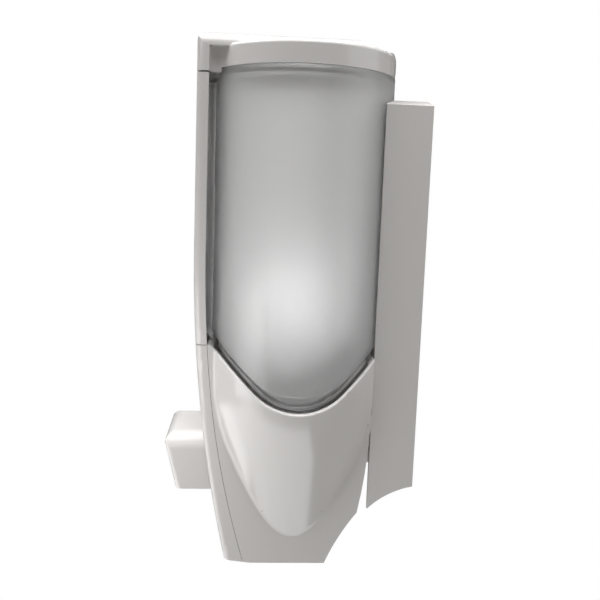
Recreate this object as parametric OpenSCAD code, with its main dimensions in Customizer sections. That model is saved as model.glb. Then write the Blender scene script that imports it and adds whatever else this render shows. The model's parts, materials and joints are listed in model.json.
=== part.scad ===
// Wall mounted soap dispenser with a frosted tank, a hinged lid and a push button.
// Millimetres. The wall is the plane y = 0 and the dispenser stands out towards -y.
// +z is up, and z = 0 is the middle of the wall bracket's back.

/* [Centre band] */
// Width of the band that runs up the front, over the lid and down the bracket
band_w = 44; // [43:0.5:46]
// Distance from the wall to the front face
body_d = 91.3; // [91:0.1:94]
// Radius of the bend that leans the lower front back towards the wall
front_r = 570; // [540:10:900]
// Height at which that bend starts
bend_z = 18; // [5:1:25]
// Depth of the band's side edge from the lid down to the cup
edge_top = 4.6; // [4.2:0.1:4.8]
// Depth of the band's side edge at the foot
edge_foot = 7.6; // [7.2:0.1:8]
// Height below which the side edge deepens
edge_z = -30; // [-34:1:-26]
// Wall of the strip, the front cover and the housing
skin = 2.2; // [1.8:0.1:2.4]
// Rounding of the band's long front edges
band_round = 2.5; // [1:0.1:3]

/* [Heights] */
// Height of the tank's rim, which the lid closes on
rim_z = 87; // [84:0.5:90]
// Height of the seam between the front strip and the front cover
seam_z = -20; // [-22:0.5:-18]
// Height of the foot of the body
foot_z = -111; // [-114:0.5:-110]

/* [Wall bracket] */
// Depth of the bracket from the wall
bracket_d = 18.5; // [18:0.1:20]
// Height of the bracket's shoulder
bracket_top = 76; // [74:0.5:77]
// Rise of the crowned top over the shoulder
crown = 3.5; // [2:0.1:5]
// Wall of the bracket's sides
bracket_wall = 2.4; // [2:0.1:3]
// Thickness of the bracket's back plate
plate_t = 3; // [2.5:0.1:3.5]
// Distance between the two wall screw holes
screw_spacing = 108; // [104:1:112]
// Diameter of a wall screw hole
screw_hole = 4.8; // [4:0.1:5.5]
// Width of a hanging hook
hook_w = 8; // [6:0.5:12]
// Thickness of a hook's arm
hook_t = 3.5; // [3:0.1:4]
// Height of a hook's lip over its arm
hook_lip = 5; // [4:0.5:5.5]
// Heights of the two hooks
hook_z = [-33, -69];
// Radius of the sweep that the bracket's lower edge follows
tail_r = 34.9; // [34:0.1:35.5]
// Height of that sweep's centre
tail_z = -111.8; // [-112.2:0.1:-111.4]

/* [Foot] */
// Radius of the hollow sweep under the housing's back
undercut_r = 94.1; // [93:0.1:95]
// Height of the sweep's centre
undercut_z = -146.5; // [-147:0.1:-146]
// Distance of the sweep's centre behind the wall plane
undercut_y = 51.8; // [51.5:0.1:52.2]
// Rise of the foot for each millimetre in front of its bend
foot_rise = 0.12; // [0.1:0.01:0.14]

/* [Tank] */
// Distance from the wall to the tank's back
tank_back = 12.4; // [12:0.1:13]
// Distance from the band's front face to the tank's front
tank_front = 4.9; // [4.8:0.1:5.4]
// Loss of radius for each millimetre down
tank_draft = 0.002; // [0.002:0.001:0.006]
// Wall of the tank
tank_wall = 2; // [1.6:0.1:2.2]
// Radius of the arc that the tank's round wall ends on, seen from the side
sweep_r = 31; // [30:0.5:32]
// Height of that arc's centre
sweep_z = -5.9; // [-6.5:0.1:-5.5]
// Bottom radius of the foot that steps back under the wall
step_r = 24.2; // [23.6:0.1:24.3]
// Height of that radius's centre
step_z = -17.8; // [-18:0.1:-17.6]
// How far the foot steps back
step_in = 1.6; // [1.2:0.1:2]
// Thickness of the flange round the mouth
flange_t = 2.5; // [2:0.1:3]
// Width of the flange round the mouth
flange_w = 10.5; // [10.2:0.1:12]
// Outer radius of the outlet neck
neck_r = 10; // [9.5:0.1:10.5]
// Bore radius of the outlet neck
neck_bore = 7; // [6.9:0.05:7.2]
// Distance between the two ribs that the front strip clips over
rib_gap = 23.4; // [22:0.2:26]
// Height of the ribs' upper ends
rib_high = 82; // [78:1:82]
// Height of the upper ends of the grooves along the ribs
groove_high = 43; // [40:1:46]
// Thickness of such a rib
rib_t = 2; // [1.6:0.1:2.4]

/* [Housing] */
// How far the round cup stands out round the tank
cup_out = 2.4; // [2.2:0.1:3]
// Height at which the cup starts to draw in
cup_z = -33; // [-34:0.5:-31]
// Radius of the draw-in
cup_bend = 90; // [80:5:110]
// Slope of the lower cup against the vertical, in degrees
cup_slope = 19; // [18:0.5:20]
// Bottom radius of the scooped rim
scoop_r = 25.4; // [25:0.1:25.6]
// Slope of the scoop's arms, in degrees
scoop_a = 43; // [42:0.5:45]
// Height of the scoop's centre
scoop_z = -17.7; // [-18:0.1:-17.6]
// Radius of the bend of the housing's back
back_r = 200; // [180:10:260]
// Height at which the back starts to bend
back_z = -50; // [-52:1:-48]
// Height of the deck that the tank stands on
deck_z = -44; // [-44.4:0.1:-44]

/* [Pump] */
// Height of the pump's axis
pump_z = -70.5; // [-71:0.5:-70]
// Bore radius of the pump barrel
bore_r = 5.5; // [5:0.1:5.6]
// Outer radius of the pump barrel
barrel_r = 7.2; // [7:0.1:7.3]
// Radius of the piston rod
rod_r = 3; // [2.5:0.1:3.2]
// Distance of the piston's back in front of the tank's axis at rest
piston_at = 14.6; // [14:0.1:15.2]
// Length of the piston
piston_l = 5.4; // [5.2:0.1:6]
// Height of the inlet chamber's floor over the pump's axis
inlet_rise = 11.5; // [11:0.1:12]
// Distance of the outlet chamber's roof below the pump's axis
outlet_drop = 8.5; // [8:0.1:9]
// Distance of the outlet stub's end below the pump's axis
outlet_reach = 21.5; // [20:0.5:22]
// Radius of the inlet ball
ball_in_r = 3.2; // [3:0.1:3.4]
// Lift of the inlet ball
ball_in_lift = 1.5; // [1:0.1:1.8]
// Radius of the outlet ball
ball_out_r = 2.8; // [2.6:0.1:3]
// Lift of the outlet ball
ball_out_lift = 1.2; // [0.8:0.1:1.4]
// Hole radius of both ball seats
seat_hole = 2.1; // [1.8:0.1:2.2]
// Wire radius of the return spring
wire_r = 0.45; // [0.3:0.05:0.5]
// Mean radius of the return spring
spring_r = 5; // [4.8:0.1:5.2]

/* [Push button] */
// Width of the front cover beside the button
button_side = 2.7; // [2.5:0.1:4]
// Height of the button's top
button_top = -57; // [-58:0.2:-56.6]
// Height of the button's underside
button_low = -80.4; // [-80.8:0.2:-79.6]
// How far the button stands out beyond the band at rest
button_out = 11; // [10:0.1:12]
// Lean of the button's front, in degrees
button_lean = 13.7; // [12:0.1:14]
// Bulge of the button's front across its width
button_bulge = 1; // [0.6:0.1:1.4]
// Wall of the button
button_wall = 2; // [1.6:0.1:2.2]
// Rounding of the button's upper side edges
button_round = 7; // [5:0.5:7]
// Rounding of the button's upper front edge
button_nose = 5.5; // [4:0.5:5.5]
// Rounding of the button's upright edges
button_edge = 2.5; // [2:0.1:3]

/* [Lid] */
// Height of the lid's straight rim
lid_h = 7; // [6.8:0.1:7.2]
// Rounding at the top of the rim
lid_round = 1.6; // [1.4:0.1:1.8]
// Thickness of the lid's top
lid_t = 2.2; // [2:0.1:2.4]
// Rise of the band over the lid's top
spine_rise = 4; // [3.6:0.1:4.4]
// Rounding of the band's side edges on the lid
spine_round = 5; // [4:0.1:5.5]
// Rounding of the lid's front corner
nose_r = 3.5; // [3:0.1:5]
// Hollow rounding between the front block and the round lid
web_r = 3.3; // [3:0.1:3.4]
// Distance of the hinge axis inside the tank's back
hinge_in = 4.5; // [4.2:0.1:4.8]
// Radius of the hinge pin
pin_r = 1.25; // [1:0.05:1.4]

/* [Clearances] */
// Gap between moulded pieces that meet at a seam
seam_gap = 0.15; // [0.1:0.05:0.25]
// Gap under the lid's front block, where a fingernail lifts it
lift_gap = 0.7; // [0.5:0.1:1]
// Gap between the housing's back and the bracket
hang_gap = 0.3; // [0.2:0.05:0.4]
// Radial clearance of the shafts that slide or turn
run_gap = 0.05; // [0.03:0.01:0.08]
// Gap round the push button in its opening
button_gap = 0.4; // [0.3:0.05:0.45]
// Gap between loose-fitting inner pieces
fit_gap = 0.2; // [0.15:0.05:0.25]

/* [Hidden] */
$fn = 64;
eps = 0.01;
tank_r = (body_d - tank_front - tank_back) / 2;
mouth_r = tank_r - flange_w;
ax = -tank_back - tank_r;
half = band_w / 2;
cup_r = tank_r + cup_out;
button_w = band_w - 2 * button_side;
button_d = body_d + button_out;
far = 200;

// Colours of the moulded finishes
white = [0.93, 0.92, 0.90];
frosted = [0.80, 0.83, 0.87, 0.55];
grey = [0.55, 0.56, 0.58];
natural = [0.88, 0.88, 0.84];
steel = [0.72, 0.73, 0.75];
silicone = [0.86, 0.80, 0.76];

// ---- Curves that several pieces share ----

// Front face of the band at height z: upright, then a large arc towards the wall
function front_y(z) = -body_d + (z < bend_z ? front_r - sqrt(pow(front_r, 2) - pow(bend_z - z, 2)) : 0);

// Back edge of the band's sides: the side edge deepens towards the foot
strip_top = rim_z - 2.4;
function edge_y(z) = front_y(z) + edge_top
    + (edge_foot - edge_top) * pow(max(0, edge_z - z) / (edge_z - foot_z), 2);

// Underside of the foot at depth y: level at the back, rising towards the front
foot_bend = 25.3 - body_d;
function foot_at(y) = foot_z + max(0, foot_bend - y) * foot_rise;

// Back of the housing at height z, moved in by inset
function back_y(z, inset = 0) = -bracket_d - hang_gap - inset
    - (z < back_z ? back_r - sqrt(pow(back_r, 2) - pow(back_z - z, 2)) : 0);

// Trough outline in the side view: a round bottom and two straight arms
function trough(r, z) = let(reach = 60) concat(
    [[ax - reach, z - r * cos(scoop_a) + (reach - r * sin(scoop_a)) * tan(scoop_a)]],
    [for (i = [-6:6]) let(a = i * scoop_a / 6) [ax + r * sin(a), z - r * cos(a)]],
    [[ax + reach, z - r * cos(scoop_a) + (reach - r * sin(scoop_a)) * tan(scoop_a)]],
    [[ax + reach, far], [ax - reach, far]]);

// Radius of the tank's outside at height z
function tank_at(z) = tank_r - (rim_z - z) * tank_draft;

// Turns a side-view outline (y, z) into a solid of width w across x
module across(w) {
    rotate([90, 0, 90])
        linear_extrude(w, center = true)
            children();
}

// Turns a front-view outline (x, z) into a solid from the front plane y0 back to y1
module along(y0, y1) {
    translate([0, y1, 0])
        rotate([90, 0, 0])
            linear_extrude(y1 - y0)
                children();
}

// Upright cylinder on the tank's axis
module axial(r, z0, z1, fn = 96) {
    translate([0, ax, z0])
        cylinder(r = r, h = z1 - z0, $fn = fn);
}

// Cylinder along y on the pump's axis
module pump_rod(r, y0, y1, fn = 64) {
    translate([0, y1, pump_z])
        rotate([90, 0, 0])
            cylinder(r = r, h = y1 - y0, $fn = fn);
}

// Round wire wound into a spring of n turns from z = 0 to z = h, with its axis on z
module coil(mean_r, wire, h, n, steps = 14, sides = 8) {
    total = n * steps;
    points = [for (i = [0:total], j = [0:sides - 1])
        let(a = i * 360 / steps, b = j * 360 / sides, r = mean_r + wire * cos(b))
        [r * cos(a), r * sin(a), wire + (h - 2 * wire) * i / total + wire * sin(b)]];
    walls = [for (i = [0:total - 1], j = [0:sides - 1])
        let(k = (j + 1) % sides)
        [i * sides + j, i * sides + k, (i + 1) * sides + k, (i + 1) * sides + j]];
    start = [[for (j = [sides - 1:-1:0]) j]];
    finish = [[for (j = [0:sides - 1]) total * sides + j]];
    polyhedron(points, [for (f = concat(walls, start, finish)) [for (i = [len(f) - 1:-1:0]) f[i]]]);
}

// ---- The band's front skin: strip and front cover ----

band_deep = 9;

// Section of the band: x runs forward from its open back, y runs across
module band_section() {
    difference() {
        union() {
            translate([0, -half])
                square([band_deep - band_round, band_w]);
            translate([0, band_round - half])
                square([band_deep, band_w - 2 * band_round]);
            for (s = [-1, 1])
                translate([band_deep - band_round, s * (half - band_round)])
                    circle(band_round, $fn = 40);
        }
        translate([-1, skin - half])
            square([band_deep - skin + 1, band_w - 2 * skin]);
    }
}

// Skin between two heights, cut back to the band's side edge
module band_skin(z0, z1) {
    intersection() {
        union() {
            if (z1 > bend_z)
                translate([0, band_deep - body_d, max(z0, bend_z)])
                    rotate([0, 0, -90])
                        linear_extrude(z1 - max(z0, bend_z))
                            band_section();
            if (z0 < bend_z)
                translate([0, front_r - body_d, bend_z])
                    rotate([90, 0, 90])
                        rotate_extrude(angle = asin((bend_z - z0) / front_r) + 1, start = 180, $fn = 900)
                            translate([front_r - band_deep, 0])
                                band_section();
        }
        across(band_w + 2)
            polygon(concat(
                [for (i = [0:16]) let(z = z0 + (z1 - z0) * i / 16) [edge_y(z), z]],
                [[-body_d - 5, z1], [-body_d - 5, z0]]));
    }
}

// ---- Wall bracket ----

module bracket_side(inset) {
    polygon(concat(
        [[-bracket_d, tail_z], [-bracket_d, bracket_top + crown - 2 - inset]],
        [for (i = [0:6]) let(a = 180 - i * 15)
            [-bracket_d + 2 + 2 * cos(a), bracket_top + crown - 2 - inset + 2 * sin(a)]],
        [[0, bracket_top + crown - inset], [0, tail_z]]));
}

// Front view: upright sides under a crowned top
module bracket_front(inset) {
    w = half - inset;
    crown_r = (pow(half, 2) + pow(crown, 2)) / (2 * crown);
    intersection() {
        translate([-w, tail_z])
            square([2 * w, bracket_top + crown - tail_z]);
        translate([0, bracket_top + crown - inset - crown_r])
            union() {
                circle(crown_r, $fn = 240);
                translate([-w, -far])
                    square([2 * w, far]);
            }
    }
}

relief_z = seam_z - 9;

// One hook: an arm from the back plate with an upturned lip in front
module hook(z) {
    back = back_y(z) - skin - hang_gap;
    across(hook_w)
        polygon([[1 - plate_t, z - hook_t], [back - 3, z - hook_t], [back - 3, z + hook_lip - 1],
            [back - 2, z + hook_lip], [back, z + hook_lip], [back, z], [1 - plate_t, z]]);
}

module wall_bracket() {
    color(white)
        difference() {
            union() {
                difference() {
                    intersection() {
                        along(-bracket_d, 0)
                            bracket_front(0);
                        across(band_w + 2)
                            bracket_side(0);
                    }
                    along(-bracket_d - 1, -plate_t)
                        bracket_front(bracket_wall);
                    // relief for the tank's back between the side walls
                    translate([0, ax, relief_z])
                        cylinder(r = tank_r + 0.4, h = far, $fn = 144);
                }
                for (s = [-1, 1])
                    translate([0, -plate_t - 2, s * screw_spacing / 2])
                        rotate([-90, 0, 0])
                            cylinder(r = screw_hole / 2 + 3, h = 3);
                for (z = hook_z)
                    hook(z);
            }
            // two wall screw holes
            for (s = [-1, 1])
                translate([0, -plate_t - 3, s * screw_spacing / 2])
                    rotate([-90, 0, 0])
                        cylinder(d = screw_hole, h = plate_t + 4, $fn = 48);
            // lower edge
            translate([0, 6.4, tail_z])
                rotate([0, 90, 0])
                    cylinder(r = tail_r, h = 4 * half, center = true, $fn = 200);
        }
}

// Hollow sweep that the housing's back ends on
module undercut(inset) {
    translate([0, undercut_y, undercut_z])
        rotate([0, 90, 0])
            cylinder(r = undercut_r + inset, h = 4 * half, center = true, $fn = 400);
}

// Everything below the underside of the foot, moved up by grow
module under_foot(grow = 0) {
    across(4 * half)
        polygon([[0, foot_z - 9], [0, foot_z + grow], [foot_bend, foot_z + grow],
            [-body_d - 5, foot_at(-body_d - 5) + grow], [-body_d - 5, foot_z - 9]]);
}

// ---- Housing ----

// Side view of the housing's flat-sided body
module housing_side(inset) {
    top = seam_z + (inset > 0 ? 1 : 0);
    low = foot_z - (inset > 0 ? 1 : 0);
    polygon(concat(
        [for (i = [0:14]) let(z = top + (low - top) * i / 14) [edge_y(z) + seam_gap + inset, z]],
        [for (i = [0:8]) let(z = low + (back_z - low) * i / 8) [back_y(z, inset), z]],
        [[back_y(back_z, inset), top]]));
}

cup_end = foot_z + 6;
cup_arc_z = cup_z - cup_bend * sin(cup_slope);
cup_arc_r = cup_r - cup_bend * (1 - cos(cup_slope));

// Round cup that bulges from both sides of the body
module cup(inset) {
    low = cup_end + 2 * inset;
    translate([0, ax, 0])
        rotate_extrude($fn = 144)
            polygon(concat(
                [[0, 1], [cup_r - inset, 1], [cup_r - inset, cup_z]],
                [for (i = [1:8]) let(a = i * cup_slope / 8)
                    [cup_r - cup_bend * (1 - cos(a)) - inset, cup_z - cup_bend * sin(a)]],
                [[cup_arc_r - (cup_arc_z - low) * tan(cup_slope) - inset, low], [0, low]]));
}

module housing_form(inset) {
    difference() {
        union() {
            across(band_w - 2 * inset)
                housing_side(inset);
            intersection() {
                cup(inset);
                across(4 * half)
                    housing_side(inset);
            }
        }
        undercut(inset);
    }
}

deck_t = skin;
lip = 1.8;
post_x = half - skin - 3;
post_y = ax - 12.6;
boss_x = 15;
saddle_x = 16.5;
boss_y = ax - 8.6;
boss_r = 3.2;
cover_screw_at = [[8, -34], [8, -98]];
pad_t = 1;

module housing() {
    slot_h = hook_t + hook_lip + 0.6;
    color(white)
        difference() {
            union() {
                difference() {
                    housing_form(0);
                    housing_form(skin);
                }
                intersection() {
                    housing_form(skin / 2);
                    translate([-half - 25, -body_d, deck_z - deck_t])
                        cube([band_w + 50, body_d, deck_t]);
                }
                intersection() {
                    housing_form(skin / 2);
                    union() {
                        // two saddle ribs under the tank
                        for (s = [-1, 1])
                            translate([s * saddle_x, 0, 0])
                                across(skin)
                                    difference() {
                                        translate([ax - 30, deck_z - eps])
                                            square([60, seam_z - deck_z]);
                                        polygon(trough(step_r + fit_gap, step_z));
                                    }
                        // posts for the base plate's screws
                        for (s = [-1, 1])
                            translate([s * post_x, post_y, foot_z + skin + fit_gap])
                                cylinder(r = 3.2, h = 12, $fn = 40);
                    }
                }
                // flat pads under the heads of the cover screws
                for (s = [-1, 1], p = cover_screw_at)
                    translate([s * p[0], edge_y(p[1]) + seam_gap + skin + pad_t, p[1]])
                        rotate([90, 0, 0])
                            cylinder(r = 3.4, h = pad_t + skin / 2, $fn = 40);
                // bosses for the pump's screws, under the deck
                for (s = [-1, 1])
                    translate([s * boss_x, boss_y, pump_z + 8.5])
                        cylinder(r = boss_r, h = deck_z - deck_t / 2 - pump_z - 8.5, $fn = 40);
            }
            // scooped rim
            across(4 * half)
                polygon(trough(scoop_r, scoop_z));
            translate([-far / 2, -far, seam_z])
                cube([far, far, far]);
            // hole for the tank's neck
            axial(neck_r + 0.3, deck_z - deck_t - 1, deck_z + 1);
            // opening for the button, with room for its lips
            translate([-button_w / 2 - button_gap, -body_d, button_low - lip - 1])
                cube([button_w + 2 * button_gap, body_d + edge_y(pump_z) + 9,
                    button_top - button_low + 2 * lip + 2]);
            // slots for the bracket's hooks
            for (z = hook_z)
                translate([-hook_w / 2 - 0.4, back_y(z) - 6, z + 0.1 - slot_h])
                    cube([hook_w + 0.8, 10, slot_h]);
            // pilot holes of the base, pump and cover screws
            for (s = [-1, 1]) {
                translate([s * post_x, post_y, foot_z])
                    cylinder(r = 1.4, h = 13, $fn = 32);
                translate([s * boss_x, boss_y, pump_z + 8])
                    cylinder(r = 1.4, h = 11, $fn = 32);
                for (p = cover_screw_at)
                    translate([s * p[0], edge_y(p[1]) + 8, p[1]])
                        rotate([90, 0, 0])
                            cylinder(r = 1.6, h = 12, $fn = 32);
            }
            // the base plate slides under the front wall
            intersection() {
                under_foot(skin + fit_gap);
                translate([-half + skin, -body_d, foot_z - 1])
                    cube([band_w - 2 * skin, body_d - 45, 9]);
            }
            under_foot();
        }
}

module base_plate() {
    color(white)
        difference() {
            intersection() {
                under_foot(skin);
                across(band_w - 2 * (skin + fit_gap))
                    polygon([for (p = [[0, 0], [0, 5], [1, 5], [1, 0]]) let(z = foot_z + p[1])
                        [p[0] == 0 ? front_y(z) + skin + fit_gap : 0, z]]);
            }
            under_foot();
            undercut(skin + fit_gap);
            translate([0, ax, foot_z - 1])
                cylinder(r = 5.6, h = 5, $fn = 64);
            for (s = [-1, 1])
                translate([s * post_x, post_y, foot_z - 1]) {
                    cylinder(r = 1.6, h = 5, $fn = 32);
                    cylinder(r = 2.9, h = 2.2, $fn = 40);
                }
        }
}

// Pan-head screw with its head's face at z = 0 and its shank up
module screw(head_r, head_h, shank_r, length) {
    difference() {
        union() {
            cylinder(r = head_r, h = head_h, $fn = 40);
            cylinder(r = shank_r, h = head_h + length, $fn = 32);
        }
        for (a = [0, 90])
            rotate(a)
                translate([-head_r * 0.6, -0.35, -1])
                    cube([head_r * 1.2, 0.7, 1 + head_h * 0.5]);
    }
}

module base_screws() {
    color(steel)
        for (s = [-1, 1])
            translate([s * post_x, post_y, foot_z + 0.1])
                screw(2.6, 1.1, 1.35, 9);
}

module front_cover() {
    z0 = foot_z;
    z1 = seam_z - seam_gap;
    color(white)
        difference() {
            union() {
                band_skin(z0, z1);
                // bosses that reach back to the housing's front wall
                for (s = [-1, 1], p = cover_screw_at)
                    intersection() {
                        translate([s * p[0], edge_y(p[1]) + 2, p[1]])
                            rotate([90, 0, 0])
                                cylinder(r = 3, h = 12, $fn = 40);
                        across(band_w)
                            polygon(concat(
                                [for (i = [0:8]) let(z = z0 + (z1 - z0) * i / 8) [edge_y(z), z]],
                                [for (i = [8:-1:0]) let(z = z0 + (z1 - z0) * i / 8)
                                    [front_y(z) + skin / 2, z]]));
                    }
            }
            // opening for the button
            along(-body_d - 5, -body_d + 35)
                button_front(-button_gap);
            under_foot();
            for (s = [-1, 1], p = cover_screw_at)
                translate([s * p[0], edge_y(p[1]) + 3, p[1]])
                    rotate([90, 0, 0])
                        cylinder(r = 1.25, h = 5.5, $fn = 32);
        }
}

module cover_screws() {
    color(steel)
        for (s = [-1, 1], p = cover_screw_at)
            translate([s * p[0], edge_y(p[1]) + seam_gap + skin + pad_t + 1.4, p[1]])
                rotate([90, 0, 0])
                    screw(2.8, 1.4, 1.2, 5.5);
}

// ---- Front strip ----

tab_z = [29, 4, -14];
tab_t = 1.5;

module front_strip() {
    z0 = seam_z + seam_gap;
    tab_x = rib_gap / 2 - rib_t / 2 - fit_gap;
    tab_back = ax - sqrt(pow(tank_r, 2) - pow(tab_x - tab_t, 2)) - fit_gap;
    color(white)
        union() {
            band_skin(z0, strip_top);
            // closed top edge
            translate([skin / 2 - half, -body_d + 1, strip_top - skin])
                cube([band_w - skin, ax - tank_r - 0.3 + body_d - 1, skin]);
            // snap tabs between the tank's two ribs
            for (s = [-1, 1], z = tab_z)
                translate([s * (tab_x - tab_t / 2) - tab_t / 2, -body_d + skin / 2 + 0.8, z])
                    cube([tab_t, tab_back + body_d - skin / 2 - 0.8, 9]);
        }
}

// ---- Tank ----

pin_y = -tank_back - hinge_in;
roll_r = hinge_in - run_gap * 2;
pin_z = rim_z + fit_gap + roll_r;
ear_x = 9;
ear_t = 3;
ear_r = 3.2;
groove_t = 0.6;
rib_root = ax - sqrt(pow(tank_at(0), 2) - pow((rib_gap + rib_t) / 2, 2));
seat_t = 1.2;
rib_low = seam_z + 1;
seat_r = 13.5;
step_front = 10.3 - body_d;
step_back = -tank_back - 9.9;

// Round wall that ends on an arc, over a foot that steps back
module tank_wall_form(inset) {
    low = sweep_z - sweep_r - 1;
    union() {
        intersection() {
            translate([0, ax, low])
                cylinder(r1 = tank_at(low) - inset, r2 = tank_r - inset, h = rim_z - low, $fn = 144);
            across(3 * tank_r)
                polygon(trough(sweep_r - inset, sweep_z));
        }
        tank_step(tank_at(step_z) - step_in - inset, step_r - inset, inset);
    }
}

// Part of the foot with radius r over the trough of radius bottom
module tank_step(r, bottom, inset) {
    intersection() {
        axial(r, deck_z, step_z + 8, 144);
        across(3 * tank_r)
            polygon(trough(bottom, step_z));
        translate([-far / 2, step_front + inset, deck_z - 1])
            cube([far, step_back - step_front - 2 * inset, far / 2]);
    }
}

module tank() {
    neck_low = deck_z - 10;
    color(frosted)
        difference() {
            union() {
                difference() {
                    union() {
                        tank_wall_form(0);
                        // bead along the foot's lower edge
                        difference() {
                            tank_step(tank_at(step_z) - 0.5, step_r, 0);
                            across(3 * tank_r)
                                polygon(trough(step_r - 1.2, step_z));
                        }
                        axial(seat_r + 0.5, deck_z + seat_t, step_z - step_r + 4);
                        axial(neck_r, neck_low, step_z - step_r + 2);
                    }
                    tank_wall_form(tank_wall);
                }
                // flange round the mouth
                difference() {
                    axial(tank_r - eps, rim_z - flange_t, rim_z);
                    axial(mouth_r, rim_z - flange_t - 1, rim_z + 1);
                }
                // ears of the lid's hinge
                intersection() {
                    axial(tank_r - eps, rim_z - flange_t, pin_z + ear_r);
                    for (s = [-1, 1])
                        translate([s * (ear_x + ear_t / 2), pin_y, pin_z]) {
                            rotate([0, 90, 0])
                                cylinder(r = ear_r, h = ear_t, center = true, $fn = 48);
                            translate([-ear_t / 2, -ear_r, rim_z - flange_t - pin_z])
                                cube([ear_t, 2 * ear_r, pin_z - rim_z + flange_t]);
                        }
                }
                // two ribs down the front that the strip clips over
                intersection() {
                    for (s = [-1, 1])
                        translate([s * rib_gap / 2, 0, 0])
                            across(rib_t)
                                polygon(concat(
                                    [for (i = [0:8]) let(z = rib_low + i * (rib_high - rib_low) / 8)
                                        [front_y(z) + skin + 0.3, z]],
                                    [for (i = [8, 0]) let(z = rib_low + i * (rib_high - rib_low) / 8)
                                        [rib_root + 0.4, z]]));
                    across(3 * tank_r)
                        polygon(trough(sweep_r + 2, sweep_z));
                }
            }
            // narrow grooves along the ribs' roots
            for (s = [-1, 1], z = [[-11, 4], [9, groove_high]])
                translate([s * (rib_gap + rib_t + groove_t) / 2 - groove_t / 2, rib_root - 1.5, z[0]])
                    cube([groove_t, 1.5 + groove_t, z[1] - z[0]]);
            axial(neck_bore, neck_low - 1, step_z, 64);
            translate([0, pin_y, pin_z])
                rotate([0, 90, 0])
                    cylinder(r = pin_r + 0.01, h = 2 * (ear_x + ear_t) + 2, center = true, $fn = 40);
        }
}

module tank_gasket() {
    color(silicone)
        difference() {
            axial(seat_r, deck_z, deck_z + seat_t);
            axial(neck_r + 0.1, deck_z - 1, deck_z + seat_t + 1);
        }
}

nut_top = deck_z - deck_t;
nut_r = 13.2;

module tank_nut() {
    color(grey)
        difference() {
            union() {
                translate([0, ax, nut_top - 5])
                    cylinder(r = nut_r, h = 4, $fn = 6);
                axial(nut_r, nut_top - 1, nut_top);
            }
            axial(neck_r + 0.05, nut_top - 6, nut_top + 1);
        }
}

// ---- Pump ----

cap_front = ax - 25.1;
barrel_front = cap_front + 2.5;
barrel_back = ax + 7.4;
bore_back = barrel_back - 3;
stub_r = neck_bore - fit_gap;
stub_top = deck_z - 0.8;
web_in = pump_z + inlet_rise;
chamber_r = 4.5;
ball_in_z = web_in + ball_in_r + 0.02;
seat_in_z = ball_in_z + ball_in_lift + sqrt(pow(ball_in_r, 2) - pow(seat_hole, 2)) + 0.03;
web_out = pump_z - outlet_drop;
ball_out_z = web_out - sqrt(pow(ball_out_r, 2) - pow(seat_hole, 2)) - 0.02;
outlet_end = pump_z - outlet_reach;
oring_z = stub_top - 3.5;
piston_back = ax - piston_at;

module pump_body() {
    color(natural)
        difference() {
            union() {
                pump_rod(barrel_r, barrel_front, barrel_back);
                axial(stub_r, pump_z, stub_top, 64);
                axial(6.5, outlet_end, pump_z, 64);
                translate([-boss_x - 3.6, boss_y - 3.6, pump_z + 6])
                    cube([2 * boss_x + 7.2, 7.2, 2.5]);
            }
            pump_rod(bore_r, barrel_front - 1, bore_back);
            // inlet: throat, web with four holes, ball chamber
            axial(3.6, pump_z, web_in - 2, 48);
            for (a = [45:90:315])
                translate([2.6 * cos(a), ax + 2.6 * sin(a), pump_z])
                    cylinder(r = 0.9, h = web_in - pump_z + 1, $fn = 20);
            axial(chamber_r, web_in, stub_top + 1, 64);
            // groove of the O-ring
            difference() {
                axial(stub_r + 1, oring_z - 0.8, oring_z + 0.8, 64);
                axial(stub_r - 1.1, oring_z - 2, oring_z + 2, 64);
            }
            // outlet: seat hole and ball chamber
            axial(seat_hole, web_out - 1, pump_z, 40);
            axial(4.2, outlet_end - 1, web_out, 64);
            for (s = [-1, 1])
                translate([s * boss_x, boss_y, pump_z + 5])
                    cylinder(r = 1.6, h = 5, $fn = 32);
        }
}

module pump_screws() {
    color(steel)
        for (s = [-1, 1])
            translate([s * boss_x, boss_y, pump_z + 4.4])
                screw(2.8, 1.5, 1.35, 9);
}

module inlet_oring() {
    color(silicone)
        translate([0, ax, oring_z])
            rotate_extrude($fn = 64)
                translate([stub_r - 0.5, 0])
                    circle(0.6, $fn = 24);
}

module inlet_seat() {
    color(natural)
        difference() {
            axial(chamber_r - 0.02, seat_in_z, stub_top, 64);
            axial(seat_hole, seat_in_z - 1, stub_top + 1, 40);
        }
}

module inlet_ball() {
    color(steel)
        translate([0, ax, ball_in_z])
            sphere(ball_in_r, $fn = 48);
}

module outlet_ball() {
    color(steel)
        translate([0, ax, ball_out_z])
            sphere(ball_out_r, $fn = 48);
}

out_spring_r = 2.4;
out_wire = 0.22;
out_spring_top = ball_out_z - sqrt(pow(ball_out_r + out_wire + 0.05, 2) - pow(out_spring_r, 2)) + out_wire;

module outlet_spring() {
    low = outlet_end + 2.6;
    color(steel)
        translate([0, ax, low])
            coil(out_spring_r, out_wire, out_spring_top - low, 5, 14, 6);
}

module nozzle() {
    tip = foot_z + 1.2;
    color(natural)
        difference() {
            union() {
                axial(4.1, outlet_end - 1, outlet_end + 2.5, 64);
                axial(6.5, outlet_end - 2.2, outlet_end - fit_gap / 4, 64);
                translate([0, ax, tip])
                    cylinder(r1 = 3.4, r2 = 5, h = outlet_end - 2 - tip, $fn = 64);
            }
            axial(1.6, tip - 1, outlet_end + 4, 40);
            translate([0, ax, tip - 1])
                cylinder(r1 = 2.9, r2 = 1.6, h = 3, $fn = 40);
        }
}

module pump_cap() {
    color(grey)
        difference() {
            union() {
                pump_rod(barrel_r, cap_front, barrel_front);
                pump_rod(bore_r - 0.02, cap_front, barrel_front + 2);
            }
            pump_rod(rod_r + run_gap, cap_front - 1, barrel_front + 3);
        }
}

seal_y = [piston_back - 3.9, piston_back - 1.9];
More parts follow.
